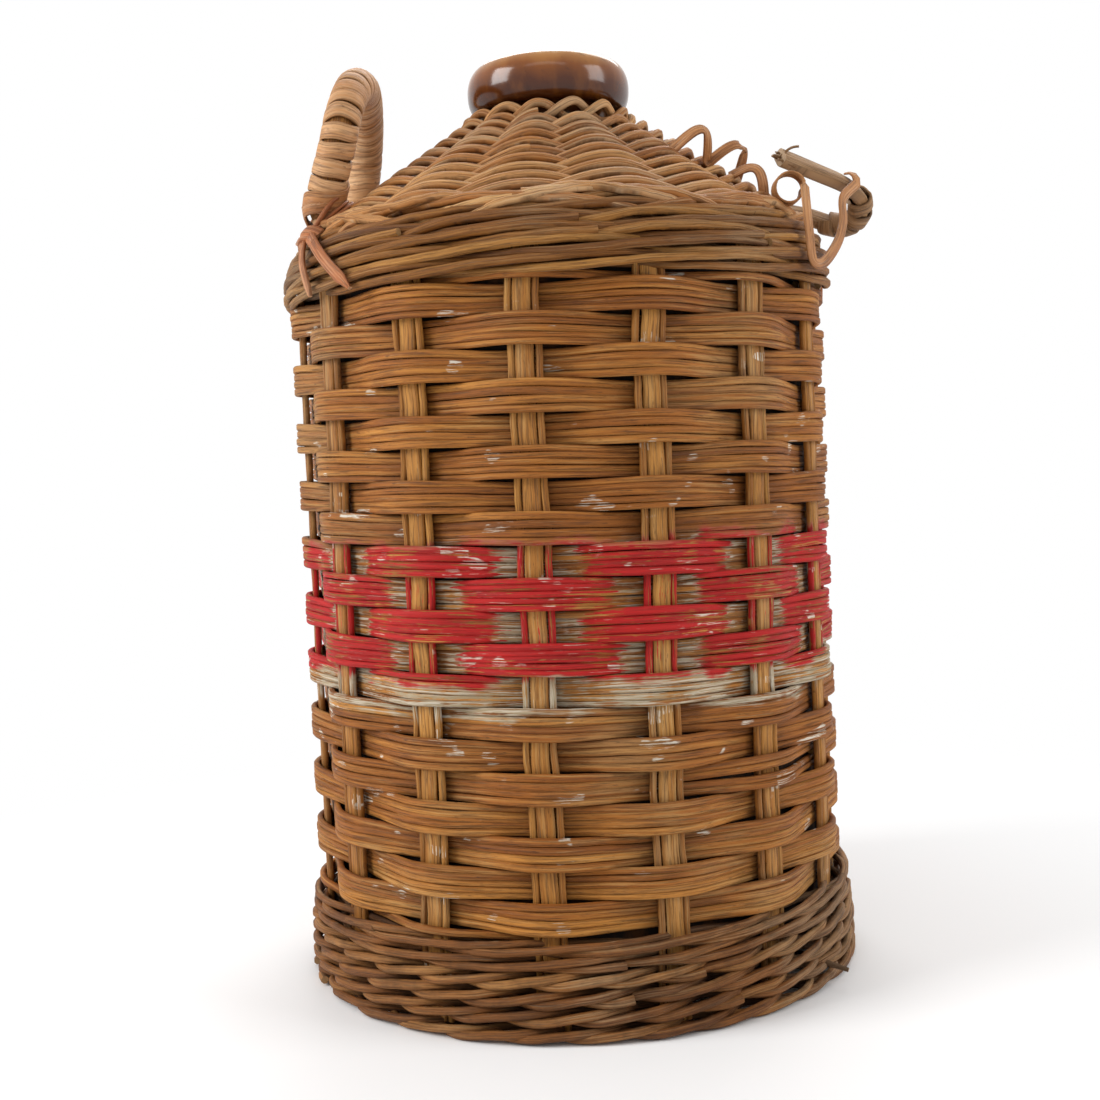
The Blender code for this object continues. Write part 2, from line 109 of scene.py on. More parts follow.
strap_radius = 0.0013
strap_coil_radius = 0.0050
strap_coil_pitch = 0.0040
strap_coil_loops = 2
inner_curl_height = 0.0105
outer_curl_height = 0.0070
broken_span = 0.040
broken_route_shares = (
    (0.28, -0.02, -0.05),
    (0.575, -0.135, -0.17),
    (0.72, -0.29, -0.13),
    (0.71, -0.49, 0.005),
    (0.53, -0.72, 0.10),
    (0.18, -0.99, 0.19),
    (-0.16, -1.21, 0.28),
)
strap_turns = (75, 71, 66, 58.5, 54, 55.5, 59)
strap_radius_shares = (1.055, 1.058, 1.050, 1.040, 1.036, 1.013, 0.978)
strap_height_shares = (1.066, 1.030, 0.996, 0.965, 0.965, 1.007, 1.068)
inner_curl_turns = (44, 70)
inner_curl_radius_shares = (0.62, 0.74)
outer_curl_turns = (60, 60)
outer_curl_radius_shares = (0.75, 0.885)

# Values worked out from those above, as in the CAD model
stake_step = 2 * pi / stake_count
stake_inside = jar_radius + clearance + band_thickness + clearance + band_slack
stake_radius = stake_inside + stake_thickness / 2
stake_outside = stake_thickness / 2 + stake_crown + clearance
band_inner_radius = jar_radius + clearance + band_thickness / 2
band_outer_radius = stake_radius + stake_outside + band_thickness / 2
bend_turn = pi / 2 - cone_angle
bend_foot = casing_corner_height - casing_bend_radius * tan(bend_turn / 2)
cone_weave_face = stake_outside + cone_weave_thickness
border_face = stake_outside + 2 * border_rod_radius
border_foot = casing_corner_height - border_drop
stake_tip_radius = neck_radius + stake_tip_gap
cone_top_radius = neck_radius + cone_top_gap
handle_foot_radius = stake_radius - handle_foot_inset
handle_arch_reach = stake_radius - handle_arch_inset
handle_arch_foot = casing_corner_height + handle_arch_lift
foot_rod_radii = [foot_rod_radius * share for share in foot_rod_radius_shares]
foot_rod_half_heights = [radius * cos(pi / foot_rod_sides) for radius in foot_rod_radii]
foot_top = 2 * sum(foot_rod_half_heights) + foot_rod_gap * (len(foot_rod_radii) - 1)
jar_foot = base_stick_thickness + 2 * clearance + base_weave_thickness
base_reach = stake_radius - stake_thickness / 2 - clearance
band_foot = foot_top + clearance
band_pitch = (border_foot - clearance - band_foot + turn_gap) / (band_steps / stake_count + 1)
band_height = band_pitch - turn_gap

# Sizes of the canes, rods and strands that take the place of the solids, in metres
samples_per_step = 16
stake_thin_place = 0.0044
band_rods = 4
band_rod_thickness = 0.0022
band_rod_gap = 0.0002
band_swell = 0.05
band_arch = 0.0004
band_lead = stake_count + 3
band_soften = np.array((1, 2, 3, 4, 3, 2, 1)) / 16
band_unbroken_steps = 50
five_rod_narrowing = 0.2
wale_strands = 3
wale_ends = 2
wale_end_margin = 60
wale_tuck_samples = 9
wale_tuck_depth = 1.9
foot_strand_radius = 0.00155
foot_strand_inner = -0.0028
foot_strand_climb = 0.0015
foot_short_rows = 4
border_strand_radius = 0.00150
border_strand_inner = (-0.0058, -0.0058, -0.0058, -0.0046, -0.0046)
border_strand_climb = 0.0020
border_span = 4.4 * stake_step
cone_strand_radius = 0.00164
cone_samples = 12
cone_rise = 0.0002
cone_hump = 0.0026
cone_end_tuck = 0.0010
closing_reach = 0.0014
closing_lift = 0.0010
loose_strands = 34
loose_span = 2.3 * stake_step
base_samples = 24
base_rods = 4
base_rod_thickness = 0.0022
base_rod_rise = 0.0002
base_rod_dip = 0.0014
cane_bare_end = 0.0020
cane_pitch = 0.0060
cane_width = 0.0060
cane_thickness = 0.0015
broken_cane_thickness = 0.0014
over_cane_lift = 0.0013
over_cane_width = 0.0050
over_cane_thickness = 0.0012
cane_slack = 0.0001
binding_width = 0.0036
binding_thickness = 0.0014
binding_wide_splay = radians(22)
binding_narrow_splay = radians(17.5)
knot_share = 0.10
knot_cane_width = 0.0034
knot_cane_thickness = 0.0016
knot_turn_width = 0.0046
knot_half_angle = 0.058
shaft_facing = (0.10, -0.76, 0.64)
shaft_width = 0.0066
shaft_thickness = 0.0050
splinters = 9
splinter_root = -0.006
ribbon_width = 0.0040
ribbon_thickness = 0.0009
strap_facing = (0.55, -0.8, 0.1)
strap_ease = 8
curl_turn = (0.0, -2.2, 0.3)

# The jar's mesh, the heights of paint and glaze, the light and the camera
jar_segments = 144
rim_fullness = 0.84
bore_edge_round = 0.001
red_low, red_high = 0.1150, 0.1635
primer_low = 0.1035
# glaze_foot is where the glaze turns dull; from glaze_low to glaze_high the glaze runs from painted shade
# on the neck to a painted reflection at the rim's top
glaze_foot, glaze_low, glaze_high = 0.306, 0.310, 0.337
floor_reach = 6.0
sky_level = 0.50
camera_place = (-0.0129, -0.550, 0.1838)
camera_yaw, camera_pitch, camera_roll = 0.0113, -0.0556, -0.0430
camera_focal_share = 1432.9 / 1100
chance = np.random.default_rng(41)
draw = chance.uniform


def stake_angle(number):
    return stake_turn + number * stake_step


def polar(radius, angle, height):
    """A point, or an array of points, at a radius, an angle from the front and a height."""
    parts = (radius * np.sin(angle), -radius * np.cos(angle), height + 0 * angle)
    return np.stack(np.broadcast_arrays(*parts), axis=-1)


def casing_point(distance, offset, lift=0.0):
    """Radius, height and lean at a distance along the line off the stakes, raised by lift."""
    bend = casing_bend_radius + offset
    turn = np.clip((distance - bend_foot) / bend, 0, bend_turn)
    along = np.maximum(distance - bend_foot - bend * bend_turn, 0)
    radius = stake_radius - casing_bend_radius + (bend + lift) * np.cos(turn)
    height = np.minimum(distance, bend_foot) + (bend + lift) * np.sin(turn)
    return radius - along * cos(cone_angle), height + along * sin(cone_angle), turn


def casing_place(distance, offset):
    return casing_point(distance, offset)[:2]


def cone_foot(offset):
    return bend_foot + (casing_bend_radius + offset) * bend_turn


def distance_at_radius(radius, offset):
    start = cone_foot(offset)
    return start + (casing_place(start, offset)[0] - radius) / cos(cone_angle)


def cone_seat(angle, radius, lift):
    """A point at an angle and a radius over the cone's weave, and its facet's outward normal."""
    to_middle = (angle - stake_turn) % stake_step - stake_step / 2
    distance = distance_at_radius(radius, cone_weave_face)
    corner_radius, height = casing_place(distance, cone_weave_face)
    flat_share = cos(stake_step / 2)
    facet_radius = corner_radius * flat_share / cos(to_middle)
    slope = atan2(sin(cone_angle), cos(cone_angle) * flat_share)
    facing = angle - to_middle
    normal = polar(sin(slope), facing, cos(slope))
    return polar(facet_radius, angle, height) + normal * lift, normal


def smooth_route(corners, steps):
    """Points on a smooth curve through the corners."""
    ends = [2 * corners[0] - corners[1]] + list(corners) + [2 * corners[-1] - corners[-2]]
    points = []
    for a, b, c, d in zip(ends, ends[1:], ends[2:], ends[3:]):
        for step in range(steps):
            t = step / steps
            bend = 2 * a - 5 * b + 4 * c - d
            twist = 3 * b - a - 3 * c + d
            points.append(b + ((c - a) * t + bend * t ** 2 + twist * t ** 3) / 2)
    points.append(np.array(corners[-1]))
    return points


def on_casing(angle, distance, offset, lift):
    """Points at angles and at distances along the casing's line, raised by lift, and the ways out."""
    radius, height, turn = casing_point(distance, offset, lift)
    return polar(radius, angle, height), polar(np.cos(turn), angle, np.sin(turn))


def sideways(angle):
    """The level direction round the casing at an angle."""
    return np.array((cos(angle), sin(angle), 0))


def gap_angle(number):
    return stake_angle(number + 0.5)


def unit(vectors):
    return vectors / np.linalg.norm(vectors, axis=-1, keepdims=True)


def square_to(vectors, tangents):
    """The directions nearest to vectors that are square to tangents."""
    return unit(vectors - tangents * np.sum(vectors * tangents, axis=-1, keepdims=True))


def forward(vector, axis):
    """The vector, or its opposite where it points back along the axis."""
    return vector * copysign(1, vector[axis])


def signed_power(values, power):
    return np.sign(values) * np.abs(values) ** power


def between(place, places, table):
    """The rows of a table, read at a place among places."""
    return np.stack([np.interp(place, places, column) for column in table.T], axis=-1)


def path_lengths(points):
    """How far along a route each of its points lies."""
    return np.concatenate(((0,), np.cumsum(np.linalg.norm(np.diff(points, axis=0), axis=1))))


def route_frames(points):
    """A route's points, how far along it they lie, its tangents, and sides that never twist."""
    points = np.array(points)
    tangents = unit(np.gradient(points, axis=0))
    side = np.cross(tangents[0], (0, 0, 1))
    if np.linalg.norm(side) < 0.5:
        side = np.cross(tangents[0], (1, 0, 0))
    sides = []
    for tangent in tangents:
        side = unit(side - tangent * np.dot(side, tangent))
        sides.append(side)
    return points, path_lengths(points), tangents, np.array(sides)


def beside_route(frames, length, turn, radius):
    """Points at a radius from the route, at lengths along it and turns about it, and the ways out."""
    points, lengths, tangents, sides = frames
    place, tangent, side = [between(length, lengths, table) for table in (points, tangents, sides)]
    tangent = unit(tangent)
    side = square_to(side, tangent)
    way = side * np.cos(turn)[:, None] + np.cross(tangent, side) * np.sin(turn)[:, None]
    return place + way * radius[:, None], way


def waver(places, size, wave):
    """A smooth line of small random shifts along places."""
    first, second, third = draw(0, 2 * pi, 3)
    line = np.sin(places * 2 * pi / wave + first)
    line = line + 0.6 * np.sin(places * 2 * pi / (0.41 * wave) + second)
    line = line + 0.35 * np.sin(places * 2 * pi / (0.17 * wave) + third)
    return size * line / 1.2


# Meshes
def add_object(name, data):
    made = bpy.data.objects.new(name, data)
    bpy.context.scene.collection.objects.link(made)
    return made


def add_mesh(name, points, faces, material):
    mesh = bpy.data.meshes.new(name)
    mesh.from_pydata(points, [], faces)
    mesh.materials.append(material)
    return add_object(name, mesh)


def dress(piece, slot, *nodes):
    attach(piece, "root")
    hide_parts(*nodes)


def ring_faces(index):
    """The faces between the rings of a grid of vertex numbers."""
    ahead = np.roll(index, -1, axis=1)
    return np.stack((index[:-1], ahead[:-1], ahead[1:], index[1:]), axis=-1).reshape(-1, 4)


class Bundle:
    """Many canes or rods that become one mesh, with their lengths and depths kept for the wood.

    A face at lift_top counts as proud, and one that lies lift_span lower as deep; the wood darkens deep
    faces as painted shade.
    """

    def __init__(self, sides, lift_top, lift_span):
        self.sides, self.lift_top, self.lift_span = sides, lift_top, lift_span
        self.tables, self.quads, self.caps = [], [], []
        self.count = self.rods = 0

    def add(self, points, out, width, thickness, tint, lift=0.0, power=1.0):
        """One rod along points, flat face towards out; width and thickness may vary along it."""
        points = np.asarray(points, float)
        number = len(points)
        tangent = unit(np.gradient(points, axis=0))
        out = square_to(np.broadcast_to(np.asarray(out, float), points.shape), tangent)
        side = np.cross(tangent, out)
        width, thickness, lift = [
            np.broadcast_to(value, (number,))[:, None] for value in (width, thickness, lift)]
        turn = 2 * pi * (np.arange(self.sides) + 0.5) / self.sides
        across = width / 2 * signed_power(np.cos(turn), power)
        high = thickness / 2 * signed_power(np.sin(turn), power)
        girth = (width + thickness).mean() * pi / 2
        # Columns: place, grain, tint, depth and cut
        table = np.zeros((number, self.sides, 9))
        ring = side[:, None] * across[..., None] + out[:, None] * high[..., None]
        table[..., :3] = points[:, None] + ring
        table[..., 3] = path_lengths(points)[:, None]
        table[..., 4] = girth * np.abs(turn / pi - 1)
        table[..., 5] = self.rods + 0.37
        table[..., 6] = tint
        table[..., 7] = np.clip((self.lift_top - (lift + high)) / self.lift_span, 0, 1)
        self.quads.append(ring_faces(self.count + np.arange(number * self.sides).reshape(number, -1)))
        self.keep(table)
        table[..., 8] = 1.0
        for end, way in ((0, -1), (-1, 1)):
            self.caps.append((self.count + np.arange(self.sides))[::way])
            self.keep(table[end])
        self.rods += 1

    def keep(self, table):
        self.tables.append(table.reshape(-1, 9).astype(np.float32))
        self.count += len(self.tables[-1])

    def make(self, name, material, slot, *nodes):
        table, quads, caps = [np.concatenate(part) for part in (self.tables, self.quads, self.caps)]
        faces = quads.tolist() + caps.reshape(-1, self.sides).tolist()
        piece = add_mesh(name, table[:, :3].tolist(), faces, material)
        mesh = piece.data
        mesh.polygons.foreach_set("use_smooth", np.arange(len(faces)) < len(quads))
        grain = mesh.attributes.new("grain", "FLOAT_VECTOR", "POINT")
        grain.data.foreach_set("vector", table[:, 3:6].ravel())
        for column, word in enumerate(("tint", "depth", "cut"), 6):
            values = table[:, column].copy()
            mesh.attributes.new(word, "FLOAT", "POINT").data.foreach_set("value", values)
        dress(piece, slot, *nodes)


# Materials
class Web:
    """A short way to write shader nodes."""

    def __init__(self, owner, shader="Principled BSDF"):
        owner.use_nodes = True
        self.owner, self.tree = owner, owner.node_tree
        self.shader = self.tree.nodes[shader]

    def add(self, kind, values=(), **settings):
        made = self.tree.nodes.new(kind)
        for word, value in settings.items():
            setattr(made, word, value)
        self.give(made, dict(values))
        return made

    def give(self, node, values):
        """Constants and links for a node's own sockets."""
        for place, value in values.items():
            if isinstance(value, bpy.types.Node):
                value = value.outputs[0]
            if isinstance(value, bpy.types.NodeSocket):
                self.tree.links.new(value, node.inputs[place])
            else:
                node.inputs[place].default_value = value

    def calc(self, kind, first, second, third=0.0):
        return self.add("ShaderNodeMath", {0: first, 1: second, 2: third}, operation=kind)

    def times(self, first, second):
        return self.calc("MULTIPLY", first, second)

    def line(self, value, slope, start):
        return self.calc("MULTIPLY_ADD", value, slope, start)

    def sway(self, noise, size, middle):
        """The middle, moved up and down by a noise."""
        return self.line(self.calc("SUBTRACT", noise, 0.5), size, middle)

    def noise(self, vector, scale, detail=3, rough=0.55):
        """Noise with one scale, or with one for each axis."""
        if isinstance(scale, tuple):
            vector = self.add("ShaderNodeVectorMath", {0: vector, 1: scale}, operation="MULTIPLY")
            scale = 1.0
        values = {"Vector": vector, "Scale": scale, "Detail": detail, "Roughness": rough}
        return self.add("ShaderNodeTexNoise", values)

    def step(self, value, low, high):
        """0 at low and 1 at high, smooth between and level beyond; low may be the larger."""
        values = {"Value": value, "From Min": low, "From Max": high}
        return self.add("ShaderNodeMapRange", values, interpolation_type="SMOOTHSTEP")

    def mix(self, share, first, second):
        return self.add("ShaderNodeMix", {0: share, 6: first, 7: second}, data_type="RGBA").outputs[2]

    def cover(self, colour, over, share, most):
        """A colour with another over it, by a share of the most."""
        return self.mix(self.times(share, most), colour, over)

    def ramp(self, value, *stops):
        made = self.add("ShaderNodeValToRGB", {0: value})
        elements = made.color_ramp.elements
        while len(elements) < len(stops):
            elements.new(0.5)
        for element, (place, colour) in zip(elements, stops):
            element.position = place
            element.color = colour
        return made

    def place(self):
        """The place on the object, and its height."""
        place = self.add("ShaderNodeTexCoord").outputs["Object"]
        return place, self.add("ShaderNodeSeparateXYZ", {0: place}).outputs["Z"]

    def seen(self):
        """1 for rays that see straight, through a clear surface or in a shine."""
        rays = self.add("ShaderNodeLightPath").outputs
        seen = self.calc("MAXIMUM", rays["Is Camera Ray"], rays["Is Transmission Ray"])
        return self.calc("MAXIMUM", seen, rays["Is Glossy Ray"])

    def finish(self, colour, rough, specular, height, strength, distance):
        bump = self.add("ShaderNodeBump", {"Height": height, "Strength": strength, "Distance": distance})
        self.give(self.shader, {
            "Base Color": colour, "Roughness": rough, "Specular IOR Level": specular, "Normal": bump})
        return self.owner


def srgb(red, green, blue):
    """A colour written in screen values of 0 to 255."""
    def line(value):
        value = value / 255
        return value / 12.92 if value <= 0.04045 else ((value + 0.055) / 1.055) ** 2.4
    return line(red), line(green), line(blue), 1.0


def make_wood(name, rough, *colours, paint_loss=None, grime=0.0):
    """Wood with fibres along each rod, darkened by painted shade where it lies deep, and painted where
    paint_loss is given.
    """
    web = Web(bpy.data.materials.new(name))
    dark, middle, light, grey, crevice = [srgb(*colour) for colour in colours]
    grain = web.add("ShaderNodeAttribute", attribute_name="grain").outputs["Vector"]
    tint, depth, cut = [web.add("ShaderNodeAttribute", attribute_name=word).outputs["Fac"]
                        for word in ("tint", "depth", "cut")]
    place, height = web.place()
    fibre = web.noise(grain, (70, 1500, 7.3), 4, 0.68)
    streak = web.noise(grain, (22, 800, 3.1))
    blotch = web.noise(grain, (12, 60, 11.7))
    patch = web.noise(place, 16)
    tone = web.sway(streak, 0.75, web.line(tint, 0.42, web.times(blotch, 0.58)))
    colour = web.ramp(tone, (0.12, dark), (0.45, middle), (0.78, light))
    worn = web.step(web.line(streak, 0.5, web.times(patch, 0.62)), 0.55, 0.70)
    colour = web.cover(colour, grey, worn, 0.40)
    pale = web.step(web.noise(grain, (55, 1700, 9.1), 4, 0.7), 0.58, 0.70)
    colour = web.cover(colour, grey, pale, 0.50)
    fissure = web.line(web.step(fibre, 0.34, 0.56), -0.62, 0.62)
    colour = web.mix(fissure, colour, crevice)
    fleck = web.step(web.noise(grain, (230, 1100, 5.7), 3, 0.6), 0.62, 0.72)
    colour = web.cover(colour, crevice, fleck, 0.55)
    if grime:
        dirt = web.step(web.noise(place, 55, 4, 0.7), 0.42, 0.66)
        colour = web.cover(colour, crevice, dirt, grime)
    if paint_loss is not None:
        colour = paint(web, place, height, grain, depth, colour, paint_loss)
    # Painted shade: the crevice colour laid over faces that lie deep, behind the rods and stakes around
    # them
    colour = web.cover(colour, crevice, web.step(depth, 0.40, 1.0), 0.6)
    colour = web.cover(colour, web.mix(0.5, light, grey), cut, 0.8)
    rough, relief = web.line(streak, 0.25, rough), web.line(streak, 0.8, fibre)
    return web.finish(colour, rough, 0.28, relief, 0.85, 0.0005)


def paint(web, place, height, grain, depth, wood, loss):
    """Worn red paint over a pale ground, by height, the red mostly on what stands proud."""
    edge = web.noise(place, (45, 45, 25))
    scrape = web.noise(grain, (34, 900, 5.1), 4, 0.65)
    scratch = web.noise(grain, (60, 1250, 2.3), 4, 0.7)
    bare = web.noise(place, (60, 60, 75), 4, 0.65)
    ragged = web.sway(scrape, 0.012, web.sway(edge, 0.016, height))
    proud = web.step(depth, 0.66, 0.46)
    hold = web.line(bare, 0.28, web.line(scrape, 0.52, web.times(scratch, 0.20)))
    if loss:
        # The first rod, a stake's wide cane, keeps less paint
        wide = web.step(web.add("ShaderNodeSeparateXYZ", {0: grain}).outputs["Z"], 1.0, 0.9)
        hold = web.line(wide, -loss, hold)

    def coat(low, low_fade, high_fade, proud_share, bare_below, full_above):
        level = web.times(web.step(ragged, low, low + low_fade),
                          web.step(ragged, red_high, red_high - high_fade))
        return web.times(level, web.step(web.line(proud, proud_share, hold), bare_below, full_above))

    primer_pale = srgb(208, 200, 180)
    primer = web.mix(web.step(scratch, 0.42, 0.62), srgb(158, 144, 114), primer_pale)
    colour = web.cover(wood, primer, coat(primer_low, 0.003, 0.006, 0.04, 0.505, 0.535), 0.80)
    stripe = coat(red_low, 0.002, 0.004, 0.20, 0.650, 0.668)
    red = web.mix(web.step(scrape, 0.35, 0.62), srgb(136, 20, 16), srgb(182, 24, 22))
    colour = web.mix(stripe, colour, red)
    rubbed = web.times(web.times(stripe, 0.7), web.step(scratch, 0.64, 0.68))
    colour = web.mix(rubbed, colour, primer_pale)
    cluster = web.step(web.noise(place, (62, 62, 120), 2), 0.64, 0.67)
    chip = web.times(cluster, web.step(scratch, 0.53, 0.57))
    return web.cover(colour, srgb(220, 214, 198), chip, 0.85)


def make_glaze():
    """Brown glaze, pale at the rim's top as a painted reflection and dark low on the neck as painted shade,
    and dull below glaze_foot, where the casing hides it.
    """
    web = Web(bpy.data.materials.new("treacle_glaze"))
    place, height = web.place()
    level = web.sway(web.noise(place, (60, 60, 14)), 0.010, height)
    share = web.add("ShaderNodeMapRange", {"Value": level, "From Min": glaze_low, "From Max": glaze_high})
    # Painted shade low on the rim and neck, rising to a painted reflection at the rim's top
    colour = web.ramp(
        share, (0.0, srgb(26, 12, 5)), (0.26, srgb(60, 26, 6)), (0.50, srgb(78, 36, 8)),
        (0.70, srgb(122, 66, 14)), (0.86, srgb(166, 112, 52)), (1.0, srgb(226, 194, 146)))
    fleck = web.step(web.noise(place, 260, 3, 0.6), 0.60, 0.72)
    colour = web.cover(colour, srgb(50, 22, 8), fleck, 0.35)
    mottle = web.step(web.noise(place, (140, 140, 60), 4), 0.48, 0.7)
    colour = web.cover(colour, srgb(150, 90, 28), mottle, 0.24)
    rough = web.line(web.step(height, glaze_foot + 0.002, glaze_foot - 0.002), 0.75, 0.15)
    return web.finish(colour, rough, 0.42, web.noise(place, (90, 90, 70), 1), 0.16, 0.0012)


# Name, roughness, and the dark, middle, light, weathered and crevice colours; the crevice colour is also
# the painted shade on deep faces
cane_wood = make_wood("worn_cane", 0.50, (106, 55, 15), (152, 89, 28), (192, 129, 55),
                      (178, 145, 96), (42, 21, 7), paint_loss=0.0)
stake_wood = make_wood("stake_cane", 0.50, (110, 62, 19), (156, 98, 36), (194, 138, 66),
                       (180, 152, 110), (44, 22, 8), paint_loss=0.12)
rod_wood = make_wood("weathered_rod", 0.52, (88, 50, 17), (134, 83, 31), (180, 126, 60),
                     (160, 138, 106), (40, 22, 9))
# The cone's rods: a paler copy of the rod wood, painted light for the light that falls on the cone from
# above
top_lit_cone_wood = make_wood("cone_rod", 0.50, (122, 69, 30), (172, 112, 56), (212, 162, 104),
                      (204, 182, 150), (46, 24, 10))
foot_wood = make_wood("foot_rod_wood", 0.54, (90, 50, 20), (136, 84, 37), (178, 126, 70),
                      (166, 144, 112), (30, 16, 7), grime=0.34)
wrap_wood = make_wood("wrap_cane", 0.42, (140, 84, 42), (184, 128, 78), (216, 172, 126),
                      (206, 184, 160), (70, 38, 18))
binding_wood = make_wood("binding_cane", 0.40, (134, 72, 34), (184, 112, 62), (212, 154, 104),
                         (206, 172, 138), (66, 34, 16))
aged_wood = make_wood("aged_cane", 0.46, (104, 72, 44), (148, 110, 72), (194, 160, 122),
                      (186, 166, 144), (48, 30, 16))
base_wood = make_wood("base_wood", 0.6, (84, 54, 30), (120, 80, 46), (150, 108, 66),
                      (130, 112, 90), (34, 20, 10), grime=0.4)
glaze = make_glaze()


# Stoneware jar, turned from its outline
def rounded(corners, rounds):
    """Points round the corners of a line, with a radius and a count for each but its two ends."""
    line = []
    for before, corner, after, (radius, count) in zip(corners, corners[1:], corners[2:], rounds):
        corner = np.array(corner)
        back, on = unit(np.array(before) - corner), unit(np.array(after) - corner)
        half = acos(float(np.dot(back, on))) / 2
        centre = corner + unit(back + on) * radius / sin(half)
        first, last = [corner + way * radius / tan(half) - centre for way in (back, on)]
        start = atan2(first[1], first[0])
        turn = (atan2(last[1], last[0]) - start + pi) % (2 * pi) - pi
        for t in np.linspace(start, start + turn, count):
            line.append((centre[0] + radius * cos(t), centre[1] + radius * sin(t)))
    return line


def jar_cone_height(radius):
    start = casing_place(cone_foot(0), 0)
    off = stake_thickness / 2 + clearance
    seat = (start[0] - off * sin(cone_angle), start[1] - off * cos(cone_angle))
    return seat[1] + (seat[0] - radius) * tan(cone_angle)


def jar_outline():
    """Radii and heights from the middle of the inner floor, up, round the rim and down to the foot."""
    top = jar_cone_height(neck_radius) + neck_height
    rim_across, rim_high = rim_height / 3, rim_height / 2
    rim_centre = (neck_radius + rim_reach - rim_across, top - rim_high)
    inner_radius, inner_floor = jar_radius - jar_wall, jar_foot + jar_floor
    inner_drop = jar_wall / cos(cone_angle)
    line = [(0.0, inner_floor)]
    line += rounded(
        (line[0], (inner_radius, inner_floor), (inner_radius, jar_cone_height(inner_radius) - inner_drop),
         (bore_radius, jar_cone_height(bore_radius) - inner_drop), (bore_radius, top - rim_across / 2),
         rim_centre),
        ((jar_base_round, 6), (jar_shoulder_round, 8), (jar_neck_round, 6), (bore_edge_round, 3)))
    for turn in np.linspace(pi * 0.62, -pi * 0.46, 32):
        power = 1.0 if turn > 0 else rim_fullness
        line.append((rim_centre[0] + rim_across * signed_power(cos(turn), power),
                     rim_centre[1] + rim_high * signed_power(sin(turn), power)))
    line += rounded(
        ((neck_radius, top - rim_height), (neck_radius, jar_cone_height(neck_radius)),
         (jar_radius, jar_cone_height(jar_radius)), (jar_radius, jar_foot), (0, jar_foot)),
        ((jar_neck_round, 8), (jar_shoulder_round, 10), (jar_base_round, 6)))
    return np.array(line + [(0.0, jar_foot)])


def make_jar():
    line = jar_outline()
    turns = 2 * pi * np.arange(jar_segments) / jar_segments
    points = polar(line[1:-1, :1], turns[None], line[1:-1, 1:]).reshape(-1, 3)
    index = np.arange(len(points)).reshape(-1, jar_segments)
    ahead = np.roll(index, -1, axis=1)
    faces = ring_faces(index)[:, (0, 3, 2, 1)].tolist()
    for end, ring, follow in ((0, index[0], ahead[0]), (1, ahead[-1], index[-1])):
        faces += [(len(points) + end, *pair) for pair in zip(ring.tolist(), follow.tolist())]
    points = np.concatenate((points, ((0, 0, line[0, 1]), (0, 0, line[-1, 1]))))
    jar = add_mesh("turned_jar", points.tolist(), faces, glaze)
    jar.data.polygons.foreach_set("use_smooth", [True] * len(faces))
    dress(jar, "stoneware", "stoneware_jar")


def make_stake(number):
    """A wide split cane between two thin canes."""
    bundle = Bundle(10, 0.0035, 0.0075)
    bend_end, tip = cone_foot(0), distance_at_radius(stake_tip_radius, 0)
    distance = np.concatenate((np.arange(stake_foot, bend_end, 0.004), np.linspace(bend_end, tip, 22)))
    narrow = 1 - np.clip((distance - bend_end) / (tip - bend_end), 0, 1) * (1 - stake_tip_width_share)
    angle = stake_angle(number)
    drift = waver(distance, 0.0004, 0.12)
    for side, width, thickness, rise, power in (
            (0, 0.0060, 0.0017, 0.0008, 0.55),
            (-1, 0.0023, 0.0023, 0.0003, 0.8),
            (1, 0.0023, 0.0023, 0.0003, 0.8)):
        lift = rise + waver(distance, 0.00015, 0.09)
        points, out = on_casing(angle, distance, 0, lift)
        shift = side * stake_thin_place * narrow + drift + waver(distance, 0.00025, 0.07)
        points = points + sideways(angle) * shift[:, None]
        bundle.add(points, out, width * narrow, thickness, draw(0.35, 0.95), lift, power)
    bundle.make(f"stake_canes_{number + 1:02d}", stake_wood, "cane", f"stake_{number + 1:02d}")


# Bands of four or five thin rods round the body
def band_marks():
    """Steps along the band with its places there, inside one stake and outside the next."""
    steps, places = [], []
    for step in range(-band_lead, band_steps + band_lead + 1):
        angle = stake_angle(band_way * (band_start_stake + step))
        radius, sides = (band_outer_radius, (-1, 1)) if step % 2 else (band_inner_radius, (0,))
        for side in sides:
            steps.append(step + side * band_flat_half / (stake_radius * stake_step))
            places.append(polar(radius, angle, 0.0) + sideways(angle) * band_way * side * band_flat_half)
    return np.array(steps, float), np.array(places)


def band_route(first, last):
    """Steps along the band, with the places of its middle, the ways out of it and the radii."""
    steps = np.arange(first * samples_per_step - 3, last * samples_per_step + 4) / samples_per_step
    flat = between(steps, *band_marks())
    eased = np.stack([np.convolve(column, band_soften, "valid") for column in flat.T], axis=-1)
    steps = steps[3:-3]
    eased[:, 2] = band_foot + band_height / 2 + band_pitch * steps / stake_count
    way = np.gradient(eased, axis=0)
    out = np.stack((way[:, 1], -way[:, 0], 0 * steps), axis=-1)
    return steps, eased, unit(out) * band_way, np.hypot(eased[:, 0], eased[:, 1])


def five_rod_zones():
    zones, step = [], 6
    while step < band_steps:
        span = int(chance.integers(6, 17)) * 2
        zones.append((step, step + span))
        step += span + int(chance.integers(10, 26)) * 2
    return zones


